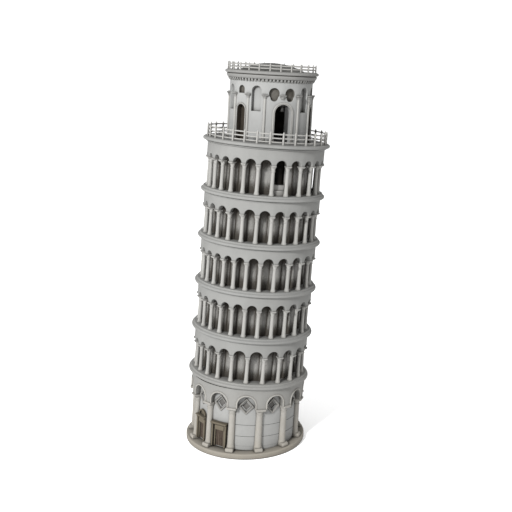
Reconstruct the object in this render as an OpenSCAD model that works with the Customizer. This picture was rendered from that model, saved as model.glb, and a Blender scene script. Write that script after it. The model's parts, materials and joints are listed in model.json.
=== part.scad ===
// Miniature leaning round tower in cast stone: a plinth, a ground storey with a
// blind arcade, five open galleries and a bell chamber, stacked as castings.
// Millimetres. Z is up and the tower leans towards +X. An angle round the tower
// is measured from -Y towards +X, so a feature is drawn on the -Y side and turned.

/* [Plinth] */
// Radius of the plinth
plinth_r = 49.9; // [49.5:0.1:54]
// Height of the plinth's top face
plinth_h = 5; // [4:0.25:8]
// Radius of the felt pad let into the underside
pad_r = 45; // [30:1:47]

/* [Lean] */
// Lean of the ground storey, in degrees
ground_lean = 3.4; // [2.5:0.1:4]
// Lean of the five galleries, in degrees
lean = 4.8; // [3.5:0.1:5]
// Lean of the bell chamber, in degrees
belfry_lean = 3.2; // [2:0.1:4.5]
// Shift of the bell chamber on the top deck, towards the lean
belfry_shift = 1.4; // [0:0.1:2]

/* [Ground storey] */
// Length of the ground storey along its axis, up to the first floor's nose
ground_h = 54.4; // [53:0.1:56]
// Radius of the smooth wall behind the blind arcade
ground_r = 42.5; // [42:0.1:43]
// Number of engaged columns
ground_count = 13; // [12:1:13]
// Angle of the first engaged column
ground_phase = -6.5; // [-8:0.1:-5]
// Radius of an engaged column at its foot
ground_shaft_r = 2.9; // [2.4:0.1:3]
// Half width of a blind arch
ground_arch_r = 7.2; // [6.9:0.1:7.4]
// Height of a door leaf
door_h = 13.6; // [12.6:0.2:14.4]

/* [Galleries] */
// Height of one gallery storey, nose to nose
storey_h = 37.55; // [37:0.05:39]
// Height of the top gallery storey
top_storey_h = 40.45; // [40:0.05:42]
// Radius of a floor's rounded nose
floor_r = 49.9; // [49.5:0.1:50.5]
// Outer radius of the arcade walls
arcade_r = 46.8; // [46.4:0.1:47.2]
// Inner radius of the arcade walls
arcade_in = 42; // [41.5:0.1:42.5]
// Radius of the solid core behind the columns
core_r = 37.5; // [35:0.5:38]
// Radius of the half-round ribs on the core, one behind each column
rib_r = 1.8; // [1.2:0.1:1.9]
// Radius of the circle that the gallery columns stand on
column_ring_r = 44.1; // [43.8:0.1:44.3]
// Radius of a gallery column at its foot
shaft_r = 1.6; // [1.3:0.1:1.7]
// Columns of the lowest gallery
low_count = 23; // [22:1:24]
// Columns of the three galleries above it
high_count = 25; // [24:1:26]
// Columns of the top gallery
top_count = 26; // [25:1:26]

/* [Bell chamber] */
// Outer radius of the bell chamber
belfry_r = 32.6; // [32:0.1:33]
// Inner radius of the bell chamber
belfry_in = 26; // [25:0.1:26.5]
// Height of the bell chamber's wall
belfry_h = 49.2; // [48.8:0.1:49.6]
// Angle of the first wide opening
belfry_phase = -5.8; // [-8:0.1:-4]
// Half width of a wide opening
wide_half = 6.6; // [6:0.1:6.8]
// Half width of a narrow doorway
narrow_half = 4.35; // [4:0.05:4.35]
// Corbels under the top cornice
corbel_count = 75; // [60:15:90]

/* [Bells] */
// Radius of a bell's mouth
bell_r = 1.8; // [1.6:0.1:2.2]
// Height of a bell from the mouth to its crossbar
bell_h = 3.8; // [3.6:0.1:4.2]
// Radius of a bell's crossbar
bar_r = 0.4; // [0.35:0.01:0.45]

/* [Railings] */
// Posts of the gallery railing
rail_count = 30; // [26:1:34]
// Height of the gallery railing's posts
rail_h = 10; // [8:0.5:11]
// Posts of the top railing
top_rail_count = 26; // [22:1:30]
// Height of the top railing's posts
top_rail_h = 6.2; // [5:0.1:7]

/* [Hidden] */
$fn = 48;

stone = [0.72, 0.72, 0.70];
pale_stone = [0.77, 0.77, 0.75];
warm_stone = [0.66, 0.63, 0.58];
door_brown = [0.27, 0.22, 0.18];
bell_metal = [0.42, 0.42, 0.40];
felt = [0.16, 0.16, 0.17];

// Floors: the slab's underside and its top, from the middle of the nose.
floor_under = 3;
floor_top = 2.4;
deck_top = 1.2;
spigot_r = 10;
spigot_gap = 0.05;
socket_r = spigot_r + spigot_gap;
boss_r = 20;
boss_h = 2;

// Gallery openings: the impost is the block between a column and the arcade.
impost_h = 1.2;
impost_w = 3.9;
impost_out = arcade_r + 0.9;
arch_gap = 1.475;

// The doorway in the top gallery's core, and how near to it a rib may stand.
doorway_angle = -4.8;
doorway_clear = 10;

// Ground storey. The doors stand in the first and second bay left of the front column.
ground_ring_r = ground_r + 0.4;
ground_out = arcade_r + 0.1;
impost_top = 36.3;
ground_cap_h = 1.9;
ground_spring = 39.4;
ground_step = 360 / ground_count;
main_bay = ground_bay(-3);
side_bay = ground_bay(-2);
main_portal_half = 6.45;
side_portal_half = 7.2;
portal_h = 21;
leaf_half = 3.7;
leaf_face = ground_r - 0.2;
leaf_back = ground_r - 1.2;
lozenge_mid = 37;
lozenge_in = [4.5, 4.9];
lozenge_out = [6.3, 6.8];

// Bell chamber, in fifteen bays of which two make one wide opening.
bay = 24;
wide_bays = [0, 5, 10];
narrow_bays = [2.5, 7.5, 12.5];
tall_bays = [1.5, 3.5, 6.5, 8.5, 11.5, 13.5];
round_bays = [0.44, -0.49, 5.44, 4.51, 10.44, 9.51];
// How far a wide opening and its bell are turned from their bay line.
wide_turn = 2;
plain_bays = [1, 2, 3, 4, 6, 7, 8, 9, 11, 12, 13, 14];
wide_spring = 24;
string_h = 37.7;
cornice_r = 36.9;
cornice_h = 5.8;
bell_ring_r = 29.4;
bar_h = 29.2;
bar_half = 6.2;
running_gap = 0.05;
ear_r = 0.95;
big = 160;

// ---------- places ----------

// Distance along the galleries' axis from the first floor up to floor k.
function floor_rise(k) = k < 5 ? k * storey_h : 4 * storey_h + top_storey_h;
function storey_rise(k) = floor_rise(k + 1) - floor_rise(k);
function column_count(k) = k == 0 ? low_count : k < 4 ? high_count : top_count;
function impost_level(k) = [24.1, 24.9, 24.8, 24.4, 25.7][k];

// The columns of a ring are set out by eye: their steps widen and narrow twice in a turn.
function by_eye(turn, sway, swing) = turn + sway * sin(2 * turn + swing);
function column_angle(k, i) =
  by_eye(
    [-83.9, -86.2, -86.5, -83.4, -95.2][k] + i * 360 / column_count(k),
    [3.2, 2.2, 4, 0.8, 2.7][k],
    [-10, -70, -65, 70, -10][k]
  );
function arch_angle(k, i) = (column_angle(k, i) + column_angle(k, i + 1)) / 2;
function arch_step(k, i) = column_angle(k, i + 1) - column_angle(k, i);
function arch_half(k, i) = (PI * column_ring_r * arch_step(k, i)) / 360 - arch_gap;
function ground_angle(i) = by_eye(ground_phase + i * ground_step, 2.5, 0);
function ground_bay(i) = (ground_angle(i) + ground_angle(i + 1)) / 2;
// How far a bell turns outwards on its bar to hang plumb in the leaning chamber.
function plumb(angle) = atan(tan(belfry_lean) * sin(angle));
function bay_angle(b) = belfry_phase + b * bay;
function wide_angle(b) = bay_angle(b) + wide_turn;

module ground_frame() {
  translate([0, 0, plinth_h]) rotate([0, ground_lean, 0]) children();
}

module floor_frame(k) {
  translate([ground_h * sin(ground_lean), 0, plinth_h + ground_h * cos(ground_lean)])
    rotate([0, lean, 0])
      translate([0, 0, floor_rise(k)])
        children();
}

module belfry_frame() {
  floor_frame(5) translate([belfry_shift, 0, 0]) rotate([0, belfry_lean - lean, 0]) children();
}

// Everything under the plinth's level top face.
module below_plinth_top() {
  translate([-big / 2, -big / 2, plinth_h - 40]) cube([big, big, 40]);
}

// Everything above the underside of floor k.
module above_floor_underside(k) {
  floor_frame(k) translate([-big / 2, -big / 2, -floor_under]) cube([big, big, 40]);
}

module below_deck() {
  floor_frame(5) translate([-big / 2, -big / 2, deck_top - 40]) cube([big, big, 40]);
}

// ---------- shapes ----------

module tube(outer, inner, low, high) {
  translate([0, 0, low]) {
    difference() {
      cylinder(r = outer, h = high - low, $fn = 96);
      translate([0, 0, -1]) cylinder(r = inner, h = high - low + 2, $fn = 96);
    }
  }
}

// A tube whose seam is turned to the given angle, clear of any opening.
module seamed_tube(outer, inner, low, high, seam) {
  rotate([0, 0, seam - 90]) tube(outer, inner, low, high);
}

// The half space behind a flat-backed piece that stands on a wall of radius r.
module behind(r) {
  translate([-10, -r, -10]) cube([20, 20, 80]);
}

// A flat outline pushed out from radius `from` to radius `to`, on the -Y side.
module push_out(from, to) {
  translate([0, -from, 0]) rotate([90, 0, 0]) linear_extrude(height = to - from) children();
}

// A round-headed opening from the foot up to the springing line.
module arch_shape(half, foot, spring) {
  translate([-half, foot]) square([2 * half, spring - foot]);
  translate([0, spring]) circle(r = half);
}

module arch_band(half, band, foot, spring) {
  difference() {
    arch_shape(half + band, foot, spring);
    arch_shape(half, foot - 1, spring);
  }
}

module lozenge(size) {
  polygon([[-size[0], 0], [0, -size[1]], [size[0], 0], [0, size[1]]]);
}

// A recess with a round head that narrows to a smaller round foot.
module drop_shape() {
  head = 4;
  foot = 2.9;
  translate([0, 38.9]) circle(r = head);
  translate([0, 35.7]) circle(r = foot);
  polygon([[-head, 38.9], [-foot, 35.4], [foot, 35.4], [head, 38.9]]);
}

// A floor or deck: a disc with a cove under a half-round nose.
module floor_disc(nose_r, top) {
  nose = 1.25;
  difference() {
    rotate_extrude($fn = 128) {
      polygon([[0, -floor_under], [nose_r - 3.1, -floor_under], [nose_r - 2.3, -2.2],
               [nose_r - 2.3, -1.75], [nose_r - 1.2, -1.55], [nose_r - 1.2, 0.95],
               [nose_r - 1.6, min(top, 1.7)], [nose_r - 1.6, top], [0, top]]);
      translate([nose_r - nose, -0.3]) circle(r = nose, $fn = 32);
    }
    translate([0, 0, -floor_under - 1]) cylinder(r = socket_r, h = 10);
  }
}

// A free column of height h with a flared foot and a necking ring.
module gallery_column(h) {
  neck = shaft_r - 0.25;
  rotate_extrude($fn = 24) {
    polygon([[0, 0], [2.2, 0], [2.2, 0.7], [1.8, 1.3], [shaft_r, 1.7],
             [neck, h - 3.8], [1.75, h - 3.7], [1.75, h - 3.3], [neck, h - 3.2],
             [2, h - impost_h], [0, h - impost_h]]);
  }
}

module impost(inner, outer, width, low, high) {
  translate([-width / 2, -outer, low]) cube([width, outer - inner, high - low]);
}

module around(count, phase) {
  for (i = [0:count - 1]) rotate([0, 0, phase + i * 360 / count]) children();
}

module in_ground_bays() {
  for (i = [0:ground_count - 1]) rotate([0, 0, ground_bay(i)]) children();
}

// A post with a pointed top.
module post(r, h) {
  cylinder(r = r, h = h - 1.5 * r, $fn = 20);
  translate([0, 0, h - 1.5 * r]) cylinder(r1 = r, r2 = 0, h = 1.5 * r, $fn = 20);
}

// A square-section hoop, its middle at the given radius and height.
module hoop(r, level, size) {
  translate([0, 0, level]) {
    rotate_extrude($fn = 128) translate([r - size / 2, -size / 2]) square(size);
  }
}

// ---------- plinth ----------

module base_pad() {
  color(felt) cylinder(r = pad_r, h = 1, $fn = 96);
}

module plinth() {
  color(warm_stone) {
    difference() {
      union() {
        rotate_extrude($fn = 128) {
          polygon([[0, 0.4], [plinth_r - 0.5, 0.4], [plinth_r, 0.9],
                   [plinth_r, plinth_h - 0.7], [plinth_r - 0.7, plinth_h], [0, plinth_h]]);
        }
        cylinder(r = boss_r, h = plinth_h + boss_h, $fn = 64);
      }
      translate([0, 0, -1]) cylinder(r = pad_r + spigot_gap, h = 2, $fn = 96);
    }
  }
}

// ---------- ground storey ----------

module door_pocket(angle) {
  rotate([0, 0, angle]) {
    push_out(leaf_back, ground_r + 2) {
      translate([-leaf_half - 0.05, -6]) square([2 * leaf_half + 0.1, door_h + 6]);
    }
  }
}

module ground_drum() {
  color(stone) {
    difference() {
      ground_frame() {
        difference() {
          translate([0, 0, -6]) cylinder(r = ground_r, h = ground_h + 6, $fn = 96);
          for (level = [11.1, 20.8]) tube(ground_r + 1, ground_r - 0.35, level, level + 0.35);
          door_pocket(main_bay);
          door_pocket(side_bay);
          in_ground_bays() translate([0, 0, lozenge_mid]) {
            push_out(ground_r - 2.2, ground_r + 2) lozenge(lozenge_in);
            push_out(ground_r - 0.6, ground_r + 2) lozenge(lozenge_out);
          }
        }
      }
      below_plinth_top();
      above_floor_underside(0);
      cylinder(r = boss_r + spigot_gap, h = plinth_h + boss_h + 0.2, $fn = 64);
    }
    floor_frame(0) translate([0, 0, -floor_under - 1]) cylinder(r = spigot_r, h = 3.6);
  }
}

// A flat-backed engaged column that starts inside its level foot block.
module ground_column(angle) {
  foot = ground_r * sin(angle) * tan(ground_lean);
  neck = ground_shaft_r - 0.3;
  difference() {
    translate([0, -ground_ring_r, 0]) {
      rotate_extrude($fn = 32) {
        polygon([[0, foot + 1.5], [ground_shaft_r + 0.5, foot + 1.5], [ground_shaft_r + 0.5, foot + 4.1],
                 [ground_shaft_r, foot + 4.9], [neck, 31.4], [3, 31.5], [3, 32], [neck, 32.1],
                 [3.5, impost_top - ground_cap_h], [0, impost_top - ground_cap_h]]);
      }
    }
    behind(ground_r);
  }
  impost(ground_r, ground_out + 1.2, 8.2, impost_top - ground_cap_h, impost_top);
}

module foot_block() {
  translate([-3.3, -ground_out - 1.1, plinth_h]) cube([6.6, 6.3, 3.2]);
}

module ground_columns() {
  color(pale_stone) {
    for (i = [0:ground_count - 1]) {
      angle = ground_angle(i);
      ground_frame() rotate([0, 0, angle]) ground_column(angle);
      difference() {
        rotate([0, 0, angle]) foot_block();
        ground_frame() translate([0, 0, -8]) cylinder(r = ground_r, h = 30, $fn = 192);
      }
    }
  }
}

// The stilted opening of a blind arch, pushed out from radius `from` to radius `to`.
module arch_core(r, from, to) {
  translate([0, -from, ground_spring]) rotate([90, 90, 0]) cylinder(r = r, h = to - from);
  translate([-r, -to, impost_top - 2]) cube([2 * r, to - from, ground_spring - impost_top + 2]);
}

module ground_arcade() {
  color(stone) {
    difference() {
      ground_frame() {
        difference() {
          seamed_tube(ground_out, ground_r, impost_top, ground_h + 4, ground_angle(0));
          in_ground_bays() arch_core(ground_arch_r, ground_r - 2, ground_out + 2);
        }
      }
      above_floor_underside(0);
    }
  }
}

// The raised mouldings round the blind arches.
module ground_archivolts() {
  color(pale_stone) {
    ground_frame() in_ground_bays() {
      intersection() {
        difference() {
          arch_core(ground_arch_r + 1.5, ground_r, ground_out + 2);
          arch_core(ground_arch_r, ground_r - 1, ground_out + 3);
        }
        seamed_tube(ground_out + 0.6, ground_out, impost_top, ground_h, 180);
      }
    }
  }
}

module lozenge_frames() {
  color(pale_stone) {
    ground_frame() in_ground_bays() translate([0, 0, lozenge_mid]) {
      push_out(ground_r - 0.6, ground_r + 1) {
        difference() {
          lozenge(lozenge_out);
          lozenge(lozenge_in);
        }
      }
    }
  }
}

// Jambs, an architrave over the door and a lintel slab across the whole bay.
module portal_frame(half) {
  for (side = [-1, 1]) {
    push_out(ground_r - 1, ground_r + 2.6) {
      translate([side * (half - 1.15) - 0.7, -6]) square([1.4, portal_h + 4]);
    }
    push_out(ground_r - 1, ground_r + 1) {
      translate([side * (leaf_half + 0.55) - 0.5, -6]) square([1, door_h + 6.2]);
    }
  }
  push_out(ground_r - 1, ground_r + 1.6) {
    translate([-4.75, door_h]) square([9.5, portal_h - 2 - door_h]);
  }
  push_out(ground_r - 1, ground_r + 4) {
    translate([-half, portal_h - 2]) square([2 * half, 2]);
  }
}

module lunette() {
  push_out(ground_r - 1, ground_r + 2) {
    intersection() {
      translate([0, portal_h]) {
        difference() {
          circle(r = 4.7);
          circle(r = 3.5);
        }
      }
      translate([-8, portal_h]) square([16, 8]);
    }
  }
  push_out(ground_r - 1, ground_r + 0.6) {
    intersection() {
      translate([0, portal_h]) circle(r = 3.6);
      translate([-8, portal_h]) square([16, 8]);
    }
  }
}

module portal(angle) {
  color(warm_stone) {
    difference() {
      ground_frame() {
        difference() {
          rotate([0, 0, angle]) children();
          translate([0, 0, -8]) cylinder(r = ground_r, h = 60, $fn = 192);
        }
      }
      below_plinth_top();
    }
  }
}

module main_portal() {
  portal(main_bay) {
    portal_frame(main_portal_half);
    lunette();
  }
}

module side_portal() {
  portal(side_bay) portal_frame(side_portal_half);
}

// A plank leaf standing in its pocket in the drum.
module door_leaf(angle) {
  color(door_brown) {
    difference() {
      ground_frame() rotate([0, 0, angle]) {
        difference() {
          push_out(leaf_back, leaf_face) translate([-leaf_half, -6]) square([2 * leaf_half, door_h + 5.95]);
          for (x = [-1.7, 0, 1.7]) push_out(leaf_face - 0.25, leaf_face + 1) {
            translate([x - 0.12, -7]) square([0.24, door_h + 8]);
          }
        }
      }
      below_plinth_top();
    }
  }
}

module main_door() {
  door_leaf(main_bay);
}

module side_door() {
  door_leaf(side_bay);
}

// ---------- galleries ----------

module floor_slab(k) {
  color(stone) floor_frame(k) floor_disc(floor_r, floor_top);
}

module core_body(k) {
  h = storey_rise(k);
  translate([0, 0, floor_top]) cylinder(r = core_r, h = h - floor_under - floor_top, $fn = 96);
  translate([0, 0, 0]) cylinder(r = spigot_r, h = h - 0.4);
}

// The cores are plain drums, and the top one has an arched doorway above its steps.
module core(k) {
  color(stone) {
    floor_frame(k) {
      difference() {
        core_body(k);
        if (k == 4) rotate([0, 0, doorway_angle]) push_out(core_r - 6, core_r + 2) arch_shape(4.6, 10.5, 25);
      }
    }
  }
}

// Flat-backed half-round ribs on a core, left out where the doorway is.
module pilasters(k) {
  h = storey_rise(k) - floor_under - floor_top;
  color(stone) {
    floor_frame(k) for (i = [0:column_count(k) - 1]) {
      angle = column_angle(k, i);
      if (k < 4 || abs(angle - doorway_angle) > doorway_clear) rotate([0, 0, angle]) {
        difference() {
          translate([0, -core_r, floor_top]) cylinder(r = rib_r, h = h, $fn = 24);
          behind(core_r);
        }
      }
    }
  }
}

module gallery_columns(k) {
  color(pale_stone) {
    floor_frame(k) for (i = [0:column_count(k) - 1]) rotate([0, 0, column_angle(k, i)]) {
      translate([0, -column_ring_r, floor_top]) gallery_column(impost_level(k) - floor_top);
      impost(arcade_in - 0.3, impost_out, impost_w, impost_level(k) - impost_h, impost_level(k));
    }
  }
}

module arcade(k) {
  color(stone) {
    floor_frame(k) {
      difference() {
        seamed_tube(arcade_r, arcade_in, impost_level(k), storey_rise(k) - floor_under, column_angle(k, 0));
        for (i = [0:column_count(k) - 1]) rotate([0, 0, arch_angle(k, i)]) {
          translate([0, 1 - arcade_in, impost_level(k)]) rotate([90, 90, 0]) {
            cylinder(r = arch_half(k, i), h = arcade_r - arcade_in + 2);
          }
        }
      }
    }
  }
}

module doorway_step() {
  color(pale_stone) {
    floor_frame(4) rotate([0, 0, doorway_angle]) {
      difference() {
        union() {
          translate([-4.4, -core_r - 2.2, floor_top]) cube([8.8, 5, 8.1]);
          translate([-4.4, -core_r - 3.8, floor_top]) cube([8.8, 5, 4]);
        }
        cylinder(r = core_r, h = 30, $fn = 96);
      }
    }
  }
}

// ---------- top gallery ----------

module gallery_deck() {
  color(stone) floor_frame(5) floor_disc(floor_r + 0.8, deck_top);
}

module gallery_posts() {
  color(pale_stone) {
    floor_frame(5) around(rail_count, -19.2) translate([0, -47.3, deck_top]) post(0.75, rail_h);
  }
}

module gallery_rails() {
  color(pale_stone) {
    floor_frame(5) {
      difference() {
        for (level = [1.9, 4.9, 7.9]) hoop(46.65, deck_top + level, 1);
        around(rail_count, -19.2) translate([0, -47.3, 0]) cylinder(r = 0.75, h = 20, $fn = 20);
      }
    }
  }
}

// ---------- bell chamber ----------

module belfry_drum() {
  color(stone) {
    difference() {
      belfry_frame() {
        difference() {
          tube(belfry_r, belfry_in, -3, belfry_h);
          for (b = wide_bays) rotate([0, 0, wide_angle(b)]) {
            push_out(belfry_in - 4, belfry_r + 4) arch_shape(wide_half, -4, wide_spring);
            translate([0, -bell_ring_r, bar_h]) rotate([0, 90, 0]) {
              cylinder(r = bar_r + 0.02, h = 2 * bar_half + 0.2, center = true, $fn = 24);
            }
          }
          for (b = narrow_bays) rotate([0, 0, bay_angle(b)]) {
            push_out(belfry_r - 4.6, belfry_r + 4) arch_shape(narrow_half, -4, 25);
            push_out(belfry_r - 2.4, belfry_r + 4) arch_shape(3, 37.7, 40.6);
          }
          for (b = tall_bays) rotate([0, 0, bay_angle(b)]) {
            push_out(belfry_r - 4, belfry_r + 4) arch_shape(3.9, 24.8, 40);
          }
          for (b = round_bays) rotate([0, 0, bay_angle(b)]) {
            push_out(belfry_r - 3, belfry_r + 4) drop_shape();
          }
        }
      }
      below_deck();
    }
  }
}

// Half-round colonnettes with a flat back, on every bay line that has no wide opening.
module belfry_colonnettes() {
  color(pale_stone) {
    difference() {
      belfry_frame() for (b = plain_bays) rotate([0, 0, bay_angle(b)]) {
        difference() {
          translate([0, -belfry_r, -3]) cylinder(r = 1.2, h = string_h, $fn = 32);
          behind(belfry_r);
        }
      }
      below_deck();
    }
  }
}

module belfry_capitals() {
  color(pale_stone) {
    belfry_frame() around(15, belfry_phase) {
      difference() {
        translate([0, -belfry_r, string_h - 3]) cylinder(r1 = 1.2, r2 = 2.2, h = 1.8, $fn = 32);
        behind(belfry_r);
      }
      impost(belfry_r, belfry_r + 2.3, 5, string_h - 1.2, string_h);
    }
  }
}

module opening_rims() {
  color(pale_stone) {
    difference() {
      belfry_frame() {
        intersection() {
          tube(belfry_r + 0.7, belfry_r, -3, 40);
          union() {
            for (b = wide_bays) rotate([0, 0, wide_angle(b)]) {
              push_out(belfry_r - 2, belfry_r + 3) arch_band(wide_half, 1.8, -4, wide_spring);
            }
            for (b = narrow_bays) rotate([0, 0, bay_angle(b)]) {
              push_out(belfry_r - 2, belfry_r + 3) arch_band(narrow_half, 1.2, -4, 25);
            }
          }
        }
      }
      below_deck();
    }
  }
}

module corbel_table() {
  color(stone) {
    belfry_frame() around(corbel_count, 0) {
      translate([-0.75, 0, 0]) rotate([90, 0, 90]) linear_extrude(height = 1.5) {
        polygon([[-belfry_r, belfry_h], [-belfry_r - 1.6, belfry_h], [-belfry_r - 1.6, belfry_h - 0.9],
                 [-belfry_r - 1.1, belfry_h - 1.8], [-belfry_r, belfry_h - 2.4]]);
      }
    }
  }
}

// A bed moulding that spreads, a groove and a half-round nose, closed as a slab.
module belfry_cornice() {
  color(pale_stone) {
    belfry_frame() translate([0, 0, belfry_h]) {
      rotate_extrude($fn = 128) {
        square([cornice_r - 2.4, cornice_h]);
        polygon([[0, 0], [cornice_r - 2.3, 0], [cornice_r - 1.4, 1.6], [cornice_r - 1.2, 2.8], [0, 2.8]]);
        translate([0, 3.3]) square([cornice_r - 1.1, cornice_h - 3.3]);
        translate([cornice_r - 1.1, 4.4]) circle(r = 1.1, $fn = 32);
      }
    }
  }
}

module roof_dome() {
  base_r = 26;
  rise = 6;
  cap_r = (base_r * base_r + rise * rise) / (2 * rise);
  color(stone) {
    belfry_frame() translate([0, 0, belfry_h + cornice_h]) {
      intersection() {
        translate([0, 0, rise - cap_r]) sphere(r = cap_r, $fn = 128);
        cylinder(r = base_r, h = rise + 1, $fn = 96);
      }
    }
  }
}

module top_posts() {
  color(pale_stone) {
    belfry_frame() around(top_rail_count, -11) {
      translate([0, -34.5, belfry_h + cornice_h]) post(0.55, top_rail_h);
    }
  }
}

module top_rails() {
  color(pale_stone) {
    belfry_frame() translate([0, 0, belfry_h + cornice_h]) {
      difference() {
        for (level = [2.1, 4.3]) hoop(34.05, level, 0.8);
        around(top_rail_count, -11) translate([0, -34.5, -1]) cylinder(r = 0.55, h = 12, $fn = 20);
      }
    }
  }
}

// ---------- bells ----------

module bell_place(b) {
  belfry_frame() rotate([0, 0, wide_angle(b)]) translate([0, -bell_ring_r, bar_h]) children();
}

module bell_bar(b) {
  color(bell_metal) {
    bell_place(b) rotate([0, 90, 0]) cylinder(r = bar_r, h = 2 * bar_half, center = true, $fn = 24);
  }
}

// An open-mouthed bell with an ear that turns on the bar.
module bell(b) {
  color(bell_metal) {
    bell_place(b) rotate([-plumb(wide_angle(b)), 0, 0]) {
      difference() {
        union() {
          rotate_extrude($fn = 32) {
            polygon([[0, -0.9], [0.8, -0.9], [1.1, -1.25], [1.2, -2.3], [1.4, -3], [bell_r, -bell_h + 0.3],
                     [bell_r, -bell_h], [bell_r - 0.35, -bell_h], [1.05, -2.9], [0.8, -2.2], [0.7, -1.5],
                     [0, -1.5]]);
          }
          rotate([0, 90, 0]) cylinder(r = ear_r, h = 1.4, center = true, $fn = 24);
          translate([-0.7, -0.6, -1.2]) cube([1.4, 1.2, 0.8]);
        }
        rotate([0, 90, 0]) cylinder(r = bar_r + running_gap, h = 4, center = true, $fn = 24);
      }
    }
  }
}

base_pad();
plinth();
ground_drum();
ground_columns();
ground_arcade();
ground_archivolts();
lozenge_frames();
main_portal();
side_portal();
main_door();
side_door();
floor_slab(0);  // floor_1
floor_slab(1);  // floor_2
floor_slab(2);  // floor_3
floor_slab(3);  // floor_4
floor_slab(4);  // floor_5
core(0);  // core_1
core(1);  // core_2
core(2);  // core_3
core(3);  // core_4
core(4);  // core_5
pilasters(0);  // pilasters_1
pilasters(1);  // pilasters_2
pilasters(2);  // pilasters_3
pilasters(3);  // pilasters_4
pilasters(4);  // pilasters_5
gallery_columns(0);  // columns_1
gallery_columns(1);  // columns_2
gallery_columns(2);  // columns_3
gallery_columns(3);  // columns_4
gallery_columns(4);  // columns_5
arcade(0);  // arcade_1
arcade(1);  // arcade_2
arcade(2);  // arcade_3
arcade(3);  // arcade_4
arcade(4);  // arcade_5
doorway_step();
gallery_deck();
gallery_posts();
gallery_rails();
belfry_drum();
belfry_colonnettes();
belfry_capitals();
opening_rims();
corbel_table();
belfry_cornice();
roof_dome();
top_posts();
top_rails();
bell_bar(0);  // bell_bar_1
bell_bar(5);  // bell_bar_2
bell_bar(10);  // bell_bar_3
bell(0);  // bell_1
bell(5);  // bell_2
bell(10);  // bell_3
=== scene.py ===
"""Looks of the miniature leaning tower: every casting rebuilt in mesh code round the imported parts.

Lengths here are millimetres in a casting's own frame, and a piece is scaled to metres as it is made.
An angle round the tower runs from -Y towards +X, so a feature is drawn on the -Y side and turned.
"""

import json
import random
from math import asin, atan2, cos, degrees, hypot, pi, radians, sin, sqrt, tan

import bmesh
import bpy
from mathutils import Matrix, Vector, noise


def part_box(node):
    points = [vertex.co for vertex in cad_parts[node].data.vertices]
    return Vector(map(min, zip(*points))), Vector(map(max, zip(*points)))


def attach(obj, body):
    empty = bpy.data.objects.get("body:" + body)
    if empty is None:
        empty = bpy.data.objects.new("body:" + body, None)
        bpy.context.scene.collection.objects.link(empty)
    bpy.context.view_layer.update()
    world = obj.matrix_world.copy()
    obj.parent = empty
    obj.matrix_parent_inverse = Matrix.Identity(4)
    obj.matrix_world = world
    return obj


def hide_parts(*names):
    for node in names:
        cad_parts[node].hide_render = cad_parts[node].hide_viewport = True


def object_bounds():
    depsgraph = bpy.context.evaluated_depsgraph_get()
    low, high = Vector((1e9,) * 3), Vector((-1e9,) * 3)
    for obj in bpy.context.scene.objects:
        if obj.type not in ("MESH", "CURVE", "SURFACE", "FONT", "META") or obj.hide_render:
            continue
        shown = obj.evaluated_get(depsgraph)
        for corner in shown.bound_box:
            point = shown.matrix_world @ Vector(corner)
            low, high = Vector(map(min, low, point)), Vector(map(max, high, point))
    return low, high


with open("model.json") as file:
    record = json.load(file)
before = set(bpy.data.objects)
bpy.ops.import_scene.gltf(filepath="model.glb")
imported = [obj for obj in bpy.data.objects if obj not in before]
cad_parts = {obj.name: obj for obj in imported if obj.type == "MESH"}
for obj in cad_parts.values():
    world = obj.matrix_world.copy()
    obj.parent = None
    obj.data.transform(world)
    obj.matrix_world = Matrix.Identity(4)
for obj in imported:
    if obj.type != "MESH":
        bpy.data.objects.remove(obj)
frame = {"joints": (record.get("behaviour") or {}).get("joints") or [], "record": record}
cad_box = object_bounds()

MM = 0.001
RNG = random.Random(7)
noise.seed_set(7)
SLOTS = {part["node"]: part["material_slot"] for part in frame["record"]["subparts"]}


# ---- driving dimensions

# Ground storey
GROUND_COUNT = 13
GROUND_PHASE = -6.5
GROUND_WALL = 42.5
GROUND_TOP = 52.0
IMPOST_TOP = 36.3
GROUND_CAP_H = 1.9
GROUND_SPRING = 39.4
GROUND_ARCH = 7.2
MAIN_HALF = 6.45
SIDE_HALF = 7.2
PORTAL_TOP = 21.0
LEAF_HALF = 3.7
LUNETTE_R = 3.5
DOOR_TOP = 13.6
LOZENGE_MID = 37.0
LOZENGE = (4.5, 4.9)
MORTAR_LINES = (11.1, 20.8)

# Galleries
COUNTS = (23, 25, 25, 25, 26)
FIRST_COLUMNS = (-83.9, -86.2, -86.5, -83.4, -95.2)
SWAYS = (3.2, 2.2, 4.0, 0.8, 2.7)
SWINGS = (-10, -70, -65, 70, -10)
SPRINGINGS = (24.1, 24.9, 24.8, 24.4, 25.7)
SPIGOT_R = 10.0
SPIGOT_SHORT = 0.4
FLOOR_TOP = 2.4
FLOOR_UNDER = 3.0
DECK_TOP = 1.2
COLUMN_RING = 44.1
ARCH_GAP = 1.475
WALL_THICK = 4.8
DOORWAY_ANGLE = -4.8
DOORWAY_CLEAR = 10.0
DOORWAY = (4.6, 10.5, 25)
DOORWAY_DEPTH = 6
RIB_R = 1.8

# Bell chamber
BAYS = 15
BAY = 360 / BAYS
CHAMBER_IN = 26.0
CHAMBER_TOP = 49.2
STRING_TOP = 37.7
WIDE = (6.6, 24.0)
WIDE_TURN = 2.0
NARROW = (4.35, 25.0)
TALL = (3.9, 24.8, 40)
SMALL = (3.0, 37.7, 40.6)
DROP = (4.0, 38.9, 2.9, 35.7)
WIDE_LINES = (0, 5, 10)
NARROW_BAYS = (2, 7, 12)
TALL_BAYS = (1, 3, 6, 8, 11, 13)
CORBELS = 75
CORNICE_H = 5.8
BAR_H = 29.2

# Railings: how many posts, the first one's angle, their ring and their height
GALLERY_RAILING = (30, -19.2, 47.3, 10.0)
TOP_RAILING = (26, -11.0, 34.5, 6.2)


# ---- how the rings are set out


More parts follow.
